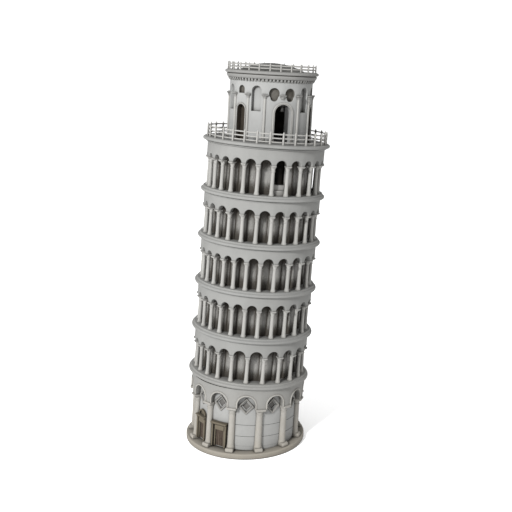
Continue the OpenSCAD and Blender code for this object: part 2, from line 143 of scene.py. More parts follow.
def by_eye(turn, sway, swing):
    """Columns are set out by eye: their steps widen and narrow twice in a turn."""
    return turn + sway * sin(radians(2 * turn + swing))


def ground_angle(i):
    return by_eye(GROUND_PHASE + i * 360 / GROUND_COUNT, 2.5, 0)


def column_angle(k, i):
    return by_eye(FIRST_COLUMNS[k] + i * 360 / COUNTS[k], SWAYS[k], SWINGS[k])


def bays(angle, count):
    """The middle and the half step of each bay between neighbouring columns."""
    turns = [angle(i) for i in range(count + 1)]
    return [((a + b) / 2, (b - a) / 2) for a, b in zip(turns, turns[1:])]


GROUND_BAYS = bays(ground_angle, GROUND_COUNT)
MAIN_BAY, SIDE_BAY = [(ground_angle(i) + ground_angle(i + 1)) / 2 for i in (-3, -2)]


# ---- frames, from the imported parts


def centre(node):
    low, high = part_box(node)
    return (Vector(low) + Vector(high)) / (2 * MM)


def radius(node):
    """The tower leans in the XZ plane, so a round piece's width along Y is its true width."""
    low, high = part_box(node)
    return (high[1] - low[1]) / (2 * MM)


def axes(x, y, z, origin):
    place = Matrix((x, y, z)).transposed().to_4x4()
    place.translation = origin
    return place


def upright(origin, axis):
    """A frame whose Z runs along a leaning axis and whose Y stays the world's."""
    axis = Vector(axis).normalized()
    return axes(Vector((0, 1, 0)).cross(axis), (0, 1, 0), axis, origin)


climb = centre("floor_5") - centre("floor_1")
gallery_axis = climb.normalized()


def storey_length(k):
    low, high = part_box("core_%d" % (k + 1))
    height = (high[2] - low[2]) / MM
    return (height - 2 * SPIGOT_R * gallery_axis.x) / gallery_axis.z + SPIGOT_SHORT


LENGTHS = [storey_length(k) for k in range(5)]
ORIGINS = [centre("core_%d" % (k + 1)) - gallery_axis * (LENGTHS[k] - SPIGOT_SHORT) / 2 for k in range(5)]
ORIGINS.append(ORIGINS[4] + gallery_axis * LENGTHS[4])
STOREYS = [upright(origin, gallery_axis) for origin in ORIGINS]
DECK = STOREYS[5]

PLINTH_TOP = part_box("ground_drum")[0][2] / MM
ground_origin = Vector((0, 0, PLINTH_TOP))
GROUND = upright(ground_origin, ORIGINS[0] - ground_origin)
LEVEL = Matrix.Translation(ground_origin)

pivots = [Vector(joint["pos_m"]) / MM for joint in frame["joints"]]
bell_level = sum(pivots, Vector()) / len(pivots)
chamber_axis = (pivots[1] - pivots[0]).cross(pivots[2] - pivots[0]).normalized()
CHAMBER = upright(bell_level - chamber_axis * BAR_H, chamber_axis)
first_bell = CHAMBER.inverted() @ pivots[0]
CHAMBER_PHASE = degrees(atan2(first_bell.x, -first_bell.y)) - WIDE_TURN

FLOOR_R = radius("floor_1")
ARCADE_R = radius("arcade_2")
CORE_R = radius("core_1")
CHAMBER_R = radius("belfry_drum")
CORNICE_R = radius("belfry_cornice")
DOME_R = radius("roof_dome")
PLINTH_R = radius("plinth")
PAD_R = radius("base_pad")


# ---- shapes


class Shape:
    """Points and faces in millimetres, in one casting's frame. Each face has a finish number."""

    def __init__(self):
        self.points = []
        self.faces = []
        self.finish = []

    def add(self, part, turn=0.0, finish=0):
        points, faces = spun(part, turn)
        base = len(self.points)
        self.points += points
        self.faces += [[base + i for i in face] for face in faces]
        self.finish += [finish] * len(faces)
        return self

    def ring(self, part, turns):
        for turn in turns:
            self.add(part, turn)
        return self


def moved(part, x=0.0, y=0.0, z=0.0):
    points, faces = part
    return [(px + x, py + y, pz + z) for px, py, pz in points], faces


def spun(part, angle):
    """The part turned about its own Z, in degrees."""
    points, faces = part
    c = cos(radians(angle))
    s = sin(radians(angle))
    return [(c * x - s * y, s * x + c * y, z) for x, y, z in points], faces


def shifted(table, x=0.0, y=0.0):
    """A table of (x, y) points, moved."""
    return [(px + x, py + y) for px, py in table]


def spaced(low, high, count):
    return [low + (high - low) * i / count for i in range(count + 1)]


def arc(middle, size, start, end, steps):
    """Points on an arc, from one angle to another in degrees."""
    cx, cy = middle
    turns = [radians(a) for a in spaced(start, end, steps)]
    return [(cx + size * cos(a), cy + size * sin(a)) for a in turns]


def soft(points, size=0.3, steps=3, closed=False):
    """Rounds the corners of an outline."""
    result = []
    count = len(points)
    for i, point in enumerate(points):
        if not closed and i in (0, count - 1):
            result.append(point)
            continue
        p = Vector(point)
        back = Vector(points[i - 1]) - p
        ahead = Vector(points[(i + 1) % count]) - p
        reach = min(size, 0.45 * back.length, 0.45 * ahead.length)
        start = p + back.normalized() * reach
        end = p + ahead.normalized() * reach
        for t in spaced(0, 1, steps):
            q = start * (1 - t) ** 2 + p * 2 * t * (1 - t) + end * t * t
            result.append((q.x, q.y))
    return result


def lathe(profile, segments=48):
    """Turns (radius, height) points round the axis. A point on the axis closes the end."""
    points = []
    faces = []
    rings = []
    for r, z in profile:
        count = 1 if r < 1e-6 else segments
        rings.append([len(points) + i for i in range(count)])
        for i in range(count):
            a = 2 * pi * i / segments
            points.append((r * sin(a), -r * cos(a), z))
    for low, high in zip(rings, rings[1:]):
        for i in range(segments):
            j = (i + 1) % segments
            corners = [low[i % len(low)], low[j % len(low)], high[j % len(high)], high[i % len(high)]]
            face = list(dict.fromkeys(corners))
            if len(face) > 2:
                faces.append(face)
    return points, faces


def skin(rows, closed=False, looped=False, capped=False):
    """Quads between rows of points. closed joins a row's ends, looped the last row to the first.

    capped adds a face over the first row and one over the last.
    """
    count = len(rows[0])
    points = [point for row in rows for point in row]
    faces = []
    for r in range(len(rows) if looped else len(rows) - 1):
        above = (r + 1) % len(rows)
        for i in range(count if closed else count - 1):
            j = (i + 1) % count
            faces.append([r * count + i, r * count + j, above * count + j, above * count + i])
    if capped:
        faces += [list(range(count)), list(range(len(points) - count, len(points)))]
    return points, faces


def block(xs, ys, zs, edge=0.25):
    """A box with its edges and corners taken off."""
    points = []
    index = {}
    faces = []
    ends = (xs, ys, zs)
    corners = [(i, j, k) for i in (0, 1) for j in (0, 1) for k in (0, 1)]
    for corner in corners:
        for axis in range(3):
            p = [ends[n][c] + (edge if c == 0 else -edge) for n, c in enumerate(corner)]
            p[axis] = ends[axis][corner[axis]]
            index[corner, axis] = len(points)
            points.append(tuple(p))
        faces.append([index[corner, axis] for axis in range(3)])
    for axis in range(3):
        u, v = [n for n in range(3) if n != axis]
        for a, b in ((0, 0), (0, 1), (1, 0), (1, 1)):
            low, high = [0, 0, 0], [0, 0, 0]
            low[u] = high[u] = a
            low[v] = high[v] = b
            high[axis] = 1
            low, high = tuple(low), tuple(high)
            faces.append([index[low, u], index[high, u], index[high, v], index[low, v]])
        for side in (0, 1):
            loop = []
            for a, b in ((0, 0), (1, 0), (1, 1), (0, 1)):
                corner = [side, side, side]
                corner[u] = a
                corner[v] = b
                loop.append(index[tuple(corner), axis])
            faces.append(loop)
    return points, faces


def stack(levels, corner=0.3, base=(0, 0, 0)):
    """A block that changes with height: (half width, outer Y, inner Y, height), counted from a base."""
    rows = []
    for half, *rest in levels:
        out, inner, z = [a + b for a, b in zip(rest, base)]
        c = min(corner, half * 0.4)
        ring = [(-half + c, -out), (half - c, -out), (half, -out + c), (half, -inner)]
        ring += [(-half, -inner), (-half, -out + c)]
        rows.append([(x, y, z) for x, y in ring])
    return skin(rows, closed=True, capped=True)


def turned_part(profile, ring, z=0, segments=20):
    """A lathe-turned part standing on a ring round the tower, on its -Y side."""
    return moved(lathe(profile, segments), 0, -ring, z)


def on_wall(x, z, r):
    """A point of a flat drawing pressed on a cylinder of radius r, on its -Y side."""
    return (x, -sqrt(r * r - x * x), z)


def lattice(angles, levels):
    """Rows of points on a turned wall: one row for each (height, radius) level."""
    turns = [radians(a) for a in angles]
    return [[(r * sin(a), -r * cos(a), z) for a in turns] for z, r in levels]


def rim(angles, levels, sill=True):
    """The border of a patch of wall: up its left side, along the top and down the right side."""
    rows = lattice(angles, levels)
    border = [row[0] for row in rows[:-1]]
    border += rows[-1]
    border += [row[-1] for row in reversed(rows[:-1])]
    if sill:
        border += list(reversed(rows[0][1:-1]))
    return border


# ---- outlines of openings
# Each returns a function of an outward offset. Its points go the way that rim() goes.


def arch_outline(half, foot, spring, side, head, sill=0, middle=0.0):
    """A round-headed opening, with its foot left open unless it has a sill."""

    def outline(offset):
        a = half + offset
        low = foot - offset if sill else foot
        left = [(-a, z) for z in spaced(low, spring, side)[:-1]] if side else []
        crown = arc((0, spring), a, 180, 0, head)
        right = [(a, z) for z in spaced(spring, low, side)[1:]] if side else []
        bottom = [(x, low) for x in spaced(a, -a, sill)[1:-1]] if sill else []
        return [(x + middle, z) for x, z in left + crown + right + bottom]

    return outline


def through(points, count):
    """count steps along a two-legged line, leaving out the last point."""
    start, corner, end = [Vector(p) for p in points]
    half = count // 2
    legs = [start.lerp(corner, i / half) for i in range(half)]
    legs += [corner.lerp(end, i / (count - half)) for i in range(count - half)]
    return [(p.x, p.y) for p in legs]


def lozenge_outline(half_w, half_h, middle, side, top):
    def outline(offset):
        grown = 1 + offset * hypot(half_w, half_h) / (half_w * half_h)
        w, h = half_w * grown, half_h * grown
        quarter = [(-w / 2, -h / 2), (-w / 2, h / 2), (w / 2, h / 2), (w / 2, -h / 2)]
        tips = [(-w, 0), (0, h), (w, 0), (0, -h)]
        points = []
        for i, count in enumerate((side, top, side, top)):
            points += through((quarter[i], tips[i], quarter[(i + 1) % 4]), count)
        return [(x, middle + z) for x, z in points]

    return outline


def box_outline(half, foot, top, side, across):
    def outline(offset):
        a, low, high = half + offset, foot - offset, top + offset
        left = [(-a, z) for z in spaced(low, high, side)[:-1]]
        head = [(x, high) for x in spaced(-a, a, across)[:-1]]
        right = [(a, z) for z in spaced(high, low, side)[:-1]]
        bottom = [(x, low) for x in spaced(a, -a, across)[:-1]]
        return left + head + right + bottom

    return outline


def drop_outline(head_r, head_z, foot_r, foot_z, side, top, middle=0.0):
    """A round recess that narrows to a smaller round foot."""

    def outline(offset):
        big, small = head_r + offset, foot_r + offset
        waist = (big * 0.97, (foot_z + head_z) / 2)
        left = through(((-small, foot_z), (-waist[0], waist[1]), (-big, head_z)), side)
        crown = arc((0, head_z), big, 180, 0, top)[:-1]
        right = through(((big, head_z), waist, (small, foot_z)), side)
        bottom = arc((0, foot_z), small, 0, -180, top)[:-1]
        return [(x + middle, z) for x, z in left + crown + right + bottom]

    return outline


def edge(deep, face, size=0.35, steps=3):
    """The section of an opening's jamb, from its depth out to the wall's face, as (offset, radius)."""
    turns = [radians(a) for a in spaced(0, 90, steps)]
    return [(0, deep)] + [(size * (1 - cos(a)), face - size + size * sin(a)) for a in turns]


def pressed(outline, section):
    """An outline pressed on the wall, a row for each (offset, radius) of a section."""
    return [[on_wall(x, z, r) for x, z in outline(offset)] for offset, r in section]


def ends(rows):
    """The two faces that close the ends of a strip of rows."""
    count = len(rows[0])
    return [[r * count + end for r in range(len(rows))] for end in (0, count - 1)]


def holed_wall(outline, section, border):
    """A patch of wall with a blind opening and its flat back."""
    points, faces = skin(pressed(outline, section) + [border], closed=True)
    count = len(border)
    middle = sum((Vector(p) for p in points[:count]), Vector()) / count
    points.append(on_wall(middle.x, middle.z, section[0][1]))
    faces += [[i, (i + 1) % count, len(points) - 1] for i in range(count)]
    return points, faces


def sunk(shape, outline, section, border, turn, inside):
    """Adds a patch of wall whose opening has a finish of its own behind the jamb's edge."""
    rows = pressed(outline, section)
    shape.add(skin(rows[1:] + [border], closed=True), turn)
    shape.add(holed_wall(outline, section[:1], rows[1]), turn, finish=inside)


def moulding(outline, section, closed=False):
    """A closed (offset, radius) section swept along an outline on the wall."""
    rows = pressed(outline, section)
    points, faces = skin(rows, closed=closed, looped=True)
    return points, faces if closed else faces + ends(rows)


def arcade_bay(half_angle, low, high, r_in, r_out, outline, section, top):
    """One bay of a free-standing arcade wall, open at its foot, that joins its neighbours."""
    angles = spaced(-half_angle, half_angle, top)
    count = len(outline(0))
    sides = (count - 1 - top) // 2
    heights = spaced(low, high, sides)
    back, border = [rim(angles, [(z, r) for z in heights], sill=False) for r in (r_in, r_out)]
    rows = [back] + pressed(outline, section) + [border]
    points, faces = skin(rows)
    last = (len(rows) - 1) * count
    faces += [[i, i + 1, last + i + 1, last + i] for i in range(sides, sides + top)]
    return points, faces + ends(rows)


# ---- materials


class Nodes:
    """A short way to write a material's node tree."""

    def __init__(self, name):
        self.material = bpy.data.materials.new(name)
        self.material.use_nodes = True
        self.tree = self.material.node_tree
        self.shader = self.tree.nodes["Principled BSDF"]
        self.coords = self.new("ShaderNodeTexCoord").outputs["Object"]

    def new(self, kind, **inputs):
        node = self.tree.nodes.new(kind)
        for name, value in inputs.items():
            node.inputs[name.replace("_", " ")].default_value = value
        return node

    def link(self, output, target):
        self.tree.links.new(output, target)

    def noise(self, scale, detail=3.0, rough=0.55, stretch=None):
        node = self.new("ShaderNodeTexNoise", Scale=scale, Detail=detail, Roughness=rough)
        source = self.coords
        if stretch:
            mapping = self.new("ShaderNodeMapping", Scale=stretch)
            self.link(self.coords, mapping.inputs["Vector"])
            source = mapping.outputs["Vector"]
        self.link(source, node.inputs["Vector"])
        return node.outputs["Fac"]

    def ramp(self, source, low, high, start=0.0, end=1.0):
        """Maps low..high to start..end, and no further."""
        node = self.new("ShaderNodeMapRange")
        for name, value in (("From Min", low), ("From Max", high), ("To Min", start), ("To Max", end)):
            node.inputs[name].default_value = value
        self.link(source, node.inputs["Value"])
        return node.outputs["Result"]

    def times(self, a, b):
        node = self.new("ShaderNodeMath")
        node.operation = "MULTIPLY"
        self.link(a, node.inputs[0])
        if isinstance(b, float):
            node.inputs[1].default_value = b
        else:
            self.link(b, node.inputs[1])
        return node.outputs[0]

    def mix(self, factor, a, b):
        """Mixes colour a towards b. Each is a link or an RGB triple."""
        node = self.new("ShaderNodeMix")
        node.data_type = "RGBA"
        self.link(factor, node.inputs[0])
        for value, socket in ((a, node.inputs[6]), (b, node.inputs[7])):
            if isinstance(value, tuple):
                socket.default_value = (*value, 1.0)
            else:
                self.link(value, socket)
        return node.outputs[2]

    def crevice(self, distance, low=0.25, high=0.85, overhead=False):
        """A mask that is 1 deep in a crease, or close under a ceiling, and 0 on open faces; most finishes
        paint shade with it.
        """
        node = self.new("ShaderNodeAmbientOcclusion", Distance=distance)
        node.samples = 12
        if overhead:
            node.inputs["Normal"].default_value = (0.0, 0.0, 1.0)
        return self.ramp(node.outputs["AO"], low, high, 1.0, 0.0)

    def height(self, low, high):
        """1 at the low height in metres and 0 at the high one."""
        split = self.new("ShaderNodeSeparateXYZ")
        self.link(self.coords, split.inputs[0])
        return self.ramp(split.outputs["Z"], low, high, 1.0, 0.0)

    def bump(self, source, strength, distance, below=None):
        node = self.new("ShaderNodeBump", Strength=strength, Distance=distance)
        self.link(source, node.inputs["Height"])
        if below:
            self.link(below, node.inputs["Normal"])
        return node.outputs["Normal"]

    def surface(self, colour, rough=None, normal=None, **values):
        """Links the shader's inputs and sets others, whose names have _ for a space."""
        for name, output in (("Base Color", colour), ("Roughness", rough), ("Normal", normal)):
            if output:
                self.link(output, self.shader.inputs[name])
        for name, value in values.items():
            self.shader.inputs[name.replace("_", " ")].default_value = value
        return self.material


# Near-black brown mixed into creases and under ceilings: partly a dark wash and partly painted shade.
WASH_AND_SHADE = (0.017, 0.0145, 0.011)
WARM = (0.15, 0.13, 0.1)


def cast_stone(name, tone, wash=0.75, warm=0.35, grime=0.25, shade=(0.016, 0.1, 0.7), roofed=0.0):
    """Matt cast stone: fine grain, faint cloudy tone, and darkening in the creases that is partly a dark
    wash and partly painted shade; roofed adds painted shade close under ceilings.
    """
    n = Nodes(name)
    cloud = n.ramp(n.noise(55, 4), 0.3, 0.7)
    grain = n.ramp(n.noise(1500, 4, 0.7), 0.25, 0.75)
    streak = n.ramp(n.noise(110, 5, 0.6, (1.0, 1.0, 0.12)), 0.5, 0.8)
    darker = tuple(c * 0.86 for c in tone)
    colour = n.mix(cloud, darker, tone)
    speckle = tuple(c * 0.88 for c in tone)
    colour = n.mix(n.times(grain, 0.35), colour, speckle)
    colour = n.mix(n.times(streak, grime), colour, tuple(c * 0.78 for c in tone))
    low = n.times(n.height(0.0, 0.075), n.ramp(n.noise(120, 4), 0.2, 0.8, 0.5, 1.0))
    colour = n.mix(n.times(low, warm), colour, WARM)
    # Painted shade: the broad mask darkens the stone where parts crowd it, as round the galleries' columns
    # and cores; the fine mask darkens tight creases, partly a dark wash and partly painted shade. wash sets
    # how strong both are.
    broad = n.crevice(*shade)
    fine = n.crevice(0.0015, 0.3, 0.85)
    patchy = n.ramp(n.noise(300, 4), 0.2, 0.75, 0.65, 1.0)
    colour = n.mix(n.times(n.times(broad, patchy), min(1.0, wash * 1.3)), colour, WASH_AND_SHADE)
    colour = n.mix(n.times(n.times(fine, patchy), wash), colour, WASH_AND_SHADE)
    # Painted shade close under ceilings, such as under the gallery arches.
    if roofed:
        colour = n.mix(n.times(n.crevice(roofed, 0.6, 0.94, overhead=True), 0.98), colour, WASH_AND_SHADE)
    grained = n.bump(n.noise(2200, 5, 0.7), 0.3, 0.00008, n.bump(n.noise(260, 4), 0.25, 0.00025))
    return n.surface(colour, n.ramp(grain, 0.0, 1.0, 0.72, 0.9), grained, Specular_IOR_Level=0.15)


def blotchy_dark_finish(name, dark, light):
    """A blotchy dark matt surface, darker still in its creases as painted shade. The recess finishes made
    with it are painted shade inside openings; the roof and the dome use it too.
    """
    n = Nodes(name)
    blotch = n.ramp(n.noise(160, 4), 0.3, 0.7)
    colour = n.mix(blotch, dark, light)
    # Painted shade in the creases.
    colour = n.mix(n.times(n.crevice(0.004, 0.2, 0.9), 0.6), colour, WASH_AND_SHADE)
    rough = n.ramp(blotch, 0.0, 1.0, 0.8, 0.95)
    return n.surface(colour, rough, n.bump(n.noise(900, 4), 0.3, 0.0001), Specular_IOR_Level=0.06)


def stained_door(name):
    """Planks in the casting with a dark brown stain that is worn on the raised grain."""
    n = Nodes(name)
    fibre = n.noise(900, 5, 0.6, (1.0, 1.0, 0.08))
    worn = n.ramp(fibre, 0.5, 0.75)
    colour = n.mix(worn, (0.027, 0.019, 0.013), (0.062, 0.049, 0.038))
    # Painted shade in the gaps between the planks and under the ledges.
    colour = n.mix(n.times(n.crevice(0.0015), 0.8), colour, (0.018, 0.013, 0.01))
    rough = n.ramp(fibre, 0.3, 0.7, 0.6, 0.85)
    return n.surface(colour, rough, n.bump(fibre, 0.6, 0.00012), Specular_IOR_Level=0.2)


def painted_bell(name):
    """Grey paint over cast metal, a little lighter in its creases."""
    n = Nodes(name)
    blotch = n.ramp(n.noise(700, 4), 0.35, 0.7)
    colour = n.mix(blotch, (0.01, 0.0095, 0.009), (0.02, 0.0195, 0.0185))
    colour = n.mix(n.times(n.crevice(0.001), 0.7), colour, (0.03, 0.028, 0.025))
    rough = n.ramp(blotch, 0.0, 1.0, 0.5, 0.7)
    grain = n.bump(n.noise(2500, 4), 0.3, 0.00005)
    return n.surface(colour, rough, grain, Metallic=0.25, Specular_IOR_Level=0.2)


def felt_cloth(name):
    """Dense dark felt: short matted fibres in every direction."""
    n = Nodes(name)
    matted = n.noise(2600, 6, 0.75)
    tuft = n.noise(500, 4)
    colour = n.mix(n.ramp(matted, 0.3, 0.7), (0.012, 0.012, 0.013), (0.04, 0.04, 0.043))
    colour = n.mix(n.ramp(tuft, 0.45, 0.8, 0.0, 0.4), colour, (0.065, 0.064, 0.062))
    return n.surface(colour, n.ramp(tuft, 0.2, 0.8, 0.9, 1.0), n.bump(matted, 0.8, 0.0002), Sheen_Weight=0.5)


FINISHES = {
    "cast_stone": cast_stone("cast_stone", (0.138, 0.138, 0.133)),
    "pale_stone": cast_stone("pale_stone", (0.187, 0.184, 0.175), wash=0.8, warm=0.6),
    "warm_stone": cast_stone("warm_stone", (0.148, 0.143, 0.131), wash=0.8, warm=0.6, grime=0.4),
    "door_wash": stained_door("door_wash"),
    "bell_metal": painted_bell("bell_metal"),
    "felt": felt_cloth("felt"),
}
# Painted shade: near-black for the inside of the bell chamber and the reveals through its wide arches.
CHAMBER_SHADE = blotchy_dark_finish("chamber_inside_shade", (0.012, 0.011, 0.009), (0.03, 0.027, 0.023))
# Painted shade: black for the back of the top core's blind doorway.
CORE_DOORWAY_SHADE = blotchy_dark_finish("core_doorway_shade", (0.0015, 0.0015, 0.0012), (0.003, 0.0028, 0.0025))
# Painted shade: dark grey for the backs of the bell chamber's small openings and round recesses.
OPENING_BACK_SHADE = blotchy_dark_finish("blotchy_dark_finish", (0.04, 0.037, 0.032), (0.07, 0.067, 0.06))
# Painted shade: grey for the backs of the lozenge recesses.
LOZENGE_BACK_SHADE = blotchy_dark_finish("lozenge_recess_shade", (0.06, 0.058, 0.055), (0.1, 0.098, 0.093))
# Painted shade: near-black brown for the backs of the bell chamber's narrow doorways.
NARROW_DOORWAY_SHADE = blotchy_dark_finish("narrow_doorway_shade", (0.012, 0.01, 0.0075), (0.022, 0.018, 0.014))
ROOF = blotchy_dark_finish("rough_roof", (0.068, 0.068, 0.064), (0.125, 0.125, 0.118))
DOME = blotchy_dark_finish("rough_dome", (0.042, 0.042, 0.04), (0.072, 0.072, 0.068))
WALL = cast_stone("wall_stone", (0.17, 0.171, 0.167), wash=0.85, warm=0.08, shade=(0.007, 0.1, 0.6))
BAND = cast_stone("band_stone", (0.13, 0.129, 0.124))
# The cores and their ribs in the galleries: a paler copy of the stone, painted light that makes up for the
# light the galleries shut out, with painted shade in their creases and close under the arches.
SHELTERED = {"shade": (0.004, 0.15, 0.6), "roofed": 0.0105}
HOLLOW = cast_stone("hollow_stone", (0.265, 0.262, 0.251), wash=0.85, **SHELTERED)
# Dark brown for the portals: partly a brown stain of their own and partly painted shade of the shadow the
# lintels sit in.
PORTAL = cast_stone("portal_stone", (0.066, 0.056, 0.04), warm=0.12)


# ---- making a piece

WOBBLE = 0.05


def uneven(p, seed, amount):
    """Moves a point a little, as hand finishing of a casting does."""
    v = Vector(p)
    slow = noise.noise_vector(v * 0.11 + Vector((seed, 0, 0)))
    quick = noise.noise_vector(v * 0.45 + Vector((0, seed, 0)))
    return v + (slow * 0.7 + quick * 0.4) * amount


def placed(name, data):
    item = bpy.data.objects.new(name, data)
    bpy.context.scene.collection.objects.link(item)
    return item


def make(shape, node, place, body="tower", wobble=WOBBLE, sharp=38, finish=None, extra=()):
    """Turns a shape into the piece that stands for a node, in its slot's finish or one of its own."""
    seed = len(bpy.data.meshes) * 3.7
    mesh = bpy.data.meshes.new(node + "_cast")
    low, high = cad_box
    points = []
    for p in shape.points:
        v = place @ uneven(p, seed, wobble) * MM
        points.append([min(max(v[axis], low[axis]), high[axis]) for axis in range(3)])
    mesh.from_pydata(points, [], shape.faces)
    for i, polygon in enumerate(mesh.polygons):
        polygon.material_index = shape.finish[i]
    bm = bmesh.new()
    bm.from_mesh(mesh)
    bmesh.ops.remove_doubles(bm, verts=bm.verts, dist=0.01 * MM)
    bmesh.ops.dissolve_degenerate(bm, dist=0.002 * MM, edges=bm.edges)
    bmesh.ops.recalc_face_normals(bm, faces=bm.faces)
    bm.to_mesh(mesh)
    bm.free()
    mesh.shade_smooth()
    mesh.set_sharp_from_angle(angle=radians(sharp))
    piece = placed(node + "_cast", mesh)
    mesh.materials.append(finish or FINISHES[SLOTS[node]])
    for material in extra:
        mesh.materials.append(material)
    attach(piece, body)
    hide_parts(node)


# ---- plinth


def plinth():
    under = 0.4
    outline = [(0, 1.05), (PAD_R + 0.05, 1.05), (PAD_R + 0.05, under), (PLINTH_R - 0.5, under)]
    outline += [(PLINTH_R - 0.02, 1.0), (PLINTH_R - 0.02, PLINTH_TOP - 0.7)]
    outline += [(PLINTH_R - 0.7, PLINTH_TOP), (GROUND_WALL - 2, PLINTH_TOP), (0, PLINTH_TOP)]
    shape = Shape().add(lathe(soft(outline, 0.35), 160))
    make(shape, "plinth", Matrix.Identity(4), wobble=0.03)


def base_pad():
    outline = [(0, 0.0), (PAD_R * 0.5, 0.0), (PAD_R - 0.3, 0.0), (PAD_R, 0.3), (PAD_R, 1.0), (0, 1.0)]
    make(Shape().add(lathe(soft(outline, 0.25), 96)), "base_pad", Matrix.Identity(4), wobble=0.0)


# ---- ground storey

GROUND_ACROSS = 10
GROUND_FOOT = -0.3
GROUND_SPLIT = 30.0


def grooved_levels():
    """Heights and radii of the lower wall, with two thin mortar lines in it and a faint one at its foot."""
    levels = [(GROUND_FOOT, 0), (2.9, 0), (3.0, -0.12), (3.15, 0)]
    for line in MORTAR_LINES:
        levels += [(line, 0), (line + 0.08, -0.3), (line + 0.3, -0.3), (line + 0.38, 0)]
    return shifted(levels + [(26.0, 0), (GROUND_SPLIT, 0)], y=GROUND_WALL)


def ground_drum():
    shape = Shape()
    low = grooved_levels()
    high = [(z, GROUND_WALL) for z in spaced(GROUND_SPLIT, GROUND_TOP, 10)]
    doorway = box_outline(LEAF_HALF + 0.05, GROUND_FOOT + 0.2, DOOR_TOP, len(low) - 1, GROUND_ACROSS)
    lozenge = lozenge_outline(*LOZENGE, LOZENGE_MID, len(high) - 1, GROUND_ACROSS)
    steps = shifted([(-1.1, -2.1), (-1.0, -1.35), (-0.15, -1.25)], y=GROUND_WALL)
    steps += edge(GROUND_WALL - 0.9, GROUND_WALL, 0.2, 2)
    edges = []
    for turn, half in GROUND_BAYS:
        angles = spaced(-half, half, GROUND_ACROSS)
        edges += [turn + a for a in angles[:-1]]
        near = min(abs(turn - door + whole) for door in (MAIN_BAY, SIDE_BAY) for whole in (0, -360))
        if near < 1:
            shape.add(holed_wall(doorway, edge(GROUND_WALL - 1.4, GROUND_WALL, 0.2), rim(angles, low)), turn)
        else:
            shape.add(skin(lattice(angles, low)), turn)
        # The lozenge recess's back takes finish 1, painted shade.
        sunk(shape, lozenge, steps, rim(angles, high), turn, 1)
    for z in (GROUND_FOOT, GROUND_TOP):
        ring = lattice(edges, [(z, GROUND_WALL), (z, 0.0)])
        shape.add(skin(ring, closed=True))
    make(shape, "ground_drum", GROUND, finish=WALL, extra=[LOZENGE_BACK_SHADE])


def ground_columns():
    """Engaged columns on level foot blocks, each under a spreading impost."""
    shape = Shape()
    ring = GROUND_WALL + 0.4
    foot_r, neck_r = 2.95, 2.6
    top = IMPOST_TOP - GROUND_CAP_H
    level_to_ground = GROUND.inverted() @ LEVEL
    foot = stack(
        [(3.1, 47.7, 41.2, -0.3), (3.3, 47.95, 41.0, 0.2), (3.3, 47.95, 41.0, 2.3), (2.9, 47.4, 41.2, 3.15)],
        0.5,
    )
    for i in range(GROUND_COUNT):
        turn = ground_angle(i)
        rise = GROUND_WALL * sin(radians(turn)) * tan(asin(GROUND.col[2].x))
        outline = [(0, 1.5), (3.35, 1.6), (3.4, 2.9), (3.3, 3.7), (3.1, 4.5), (3.0, 5.6), (foot_r, 7.2)]
        outline = shifted(outline, y=rise) + [(neck_r, 30.2)]
        outline += [(neck_r + 0.4, 30.4), (neck_r + 0.4, 31.0), (neck_r, 31.2), (neck_r + 0.1, 31.9)]
        outline += [(3.0, 33.0), (3.4, top - 0.4), (3.4, top + 0.2), (0, top + 0.2)]
        column = turned_part(soft(outline, 0.4), ring, 0, 32)
        shape.add(column, turn)
        impost = [(3.5, 47.4, 41.8, top - 0.2), (4.0, 48.0, 41.8, top + 0.4), (4.1, 48.08, 41.8, top + 1.0)]
        impost += [(4.05, 47.9, 41.8, top + 1.5), (3.8, 47.1, 41.8, IMPOST_TOP)]
        shape.add(stack(impost, 0.4), turn)
        points, faces = spun(foot, turn)
        level = [tuple(level_to_ground @ Vector(p)) for p in points]
        shape.add((level, faces))
    make(shape, "ground_columns", GROUND)


def ground_arcade():
    r_out = ARCADE_R + 0.1
    shape = Shape()
    outline = arch_outline(GROUND_ARCH, IMPOST_TOP, GROUND_SPRING, 3, 20)
    section = [(0, GROUND_WALL - 0.6)] + edge(GROUND_WALL + 1, r_out, 0.4)
    for turn, half in GROUND_BAYS:
        bay = arcade_bay(half, IMPOST_TOP, GROUND_TOP, GROUND_WALL - 0.8, r_out, outline, section, 10)
        shape.add(bay, turn)
    make(shape, "ground_arcade", GROUND)


def ground_archivolts():
    """A thick roll with a thin fillet outside it round each blind arch."""
    section = [(0.02, -0.6), (0.02, 0.1), (0.2, 0.45), (0.6, 0.57), (1.0, 0.45)]
    section += [(1.2, 0.12), (1.32, 0.12), (1.45, 0.25), (1.5, 0.1), (1.5, -0.6)]
    outline = arch_outline(GROUND_ARCH, IMPOST_TOP, GROUND_SPRING, 3, 24)
    band = moulding(outline, soft(shifted(section, y=ARCADE_R + 0.1), 0.1, 2, closed=True))
    shape = Shape().ring(band, [turn for turn, _ in GROUND_BAYS])
    make(shape, "ground_archivolts", GROUND)


def lozenge_frames():
    """Broad frames that slope up from a step round the recess to their outer edge."""
    section = [(0.0, -0.6), (0.0, 0.25), (0.25, 0.35), (0.4, 0.75), (0.9, 0.98)]
    section += [(1.2, 0.95), (1.35, 0.6), (1.35, -0.5)]
    outline = lozenge_outline(*LOZENGE, LOZENGE_MID, 8, 8)
    band = moulding(outline, soft(shifted(section, y=GROUND_WALL), 0.12, 2, closed=True), closed=True)
    shape = Shape().ring(band, [turn for turn, _ in GROUND_BAYS])
    make(shape, "lozenge_frames", GROUND, finish=BAND)


def slab(left, right, low, high, out, edge_size=0.25, back=GROUND_WALL - 1.5):
    """A flat-faced block on the ground wall, from its back radius out to its face."""
    return block((left, right), (-out, -back), (low, high), edge_size)


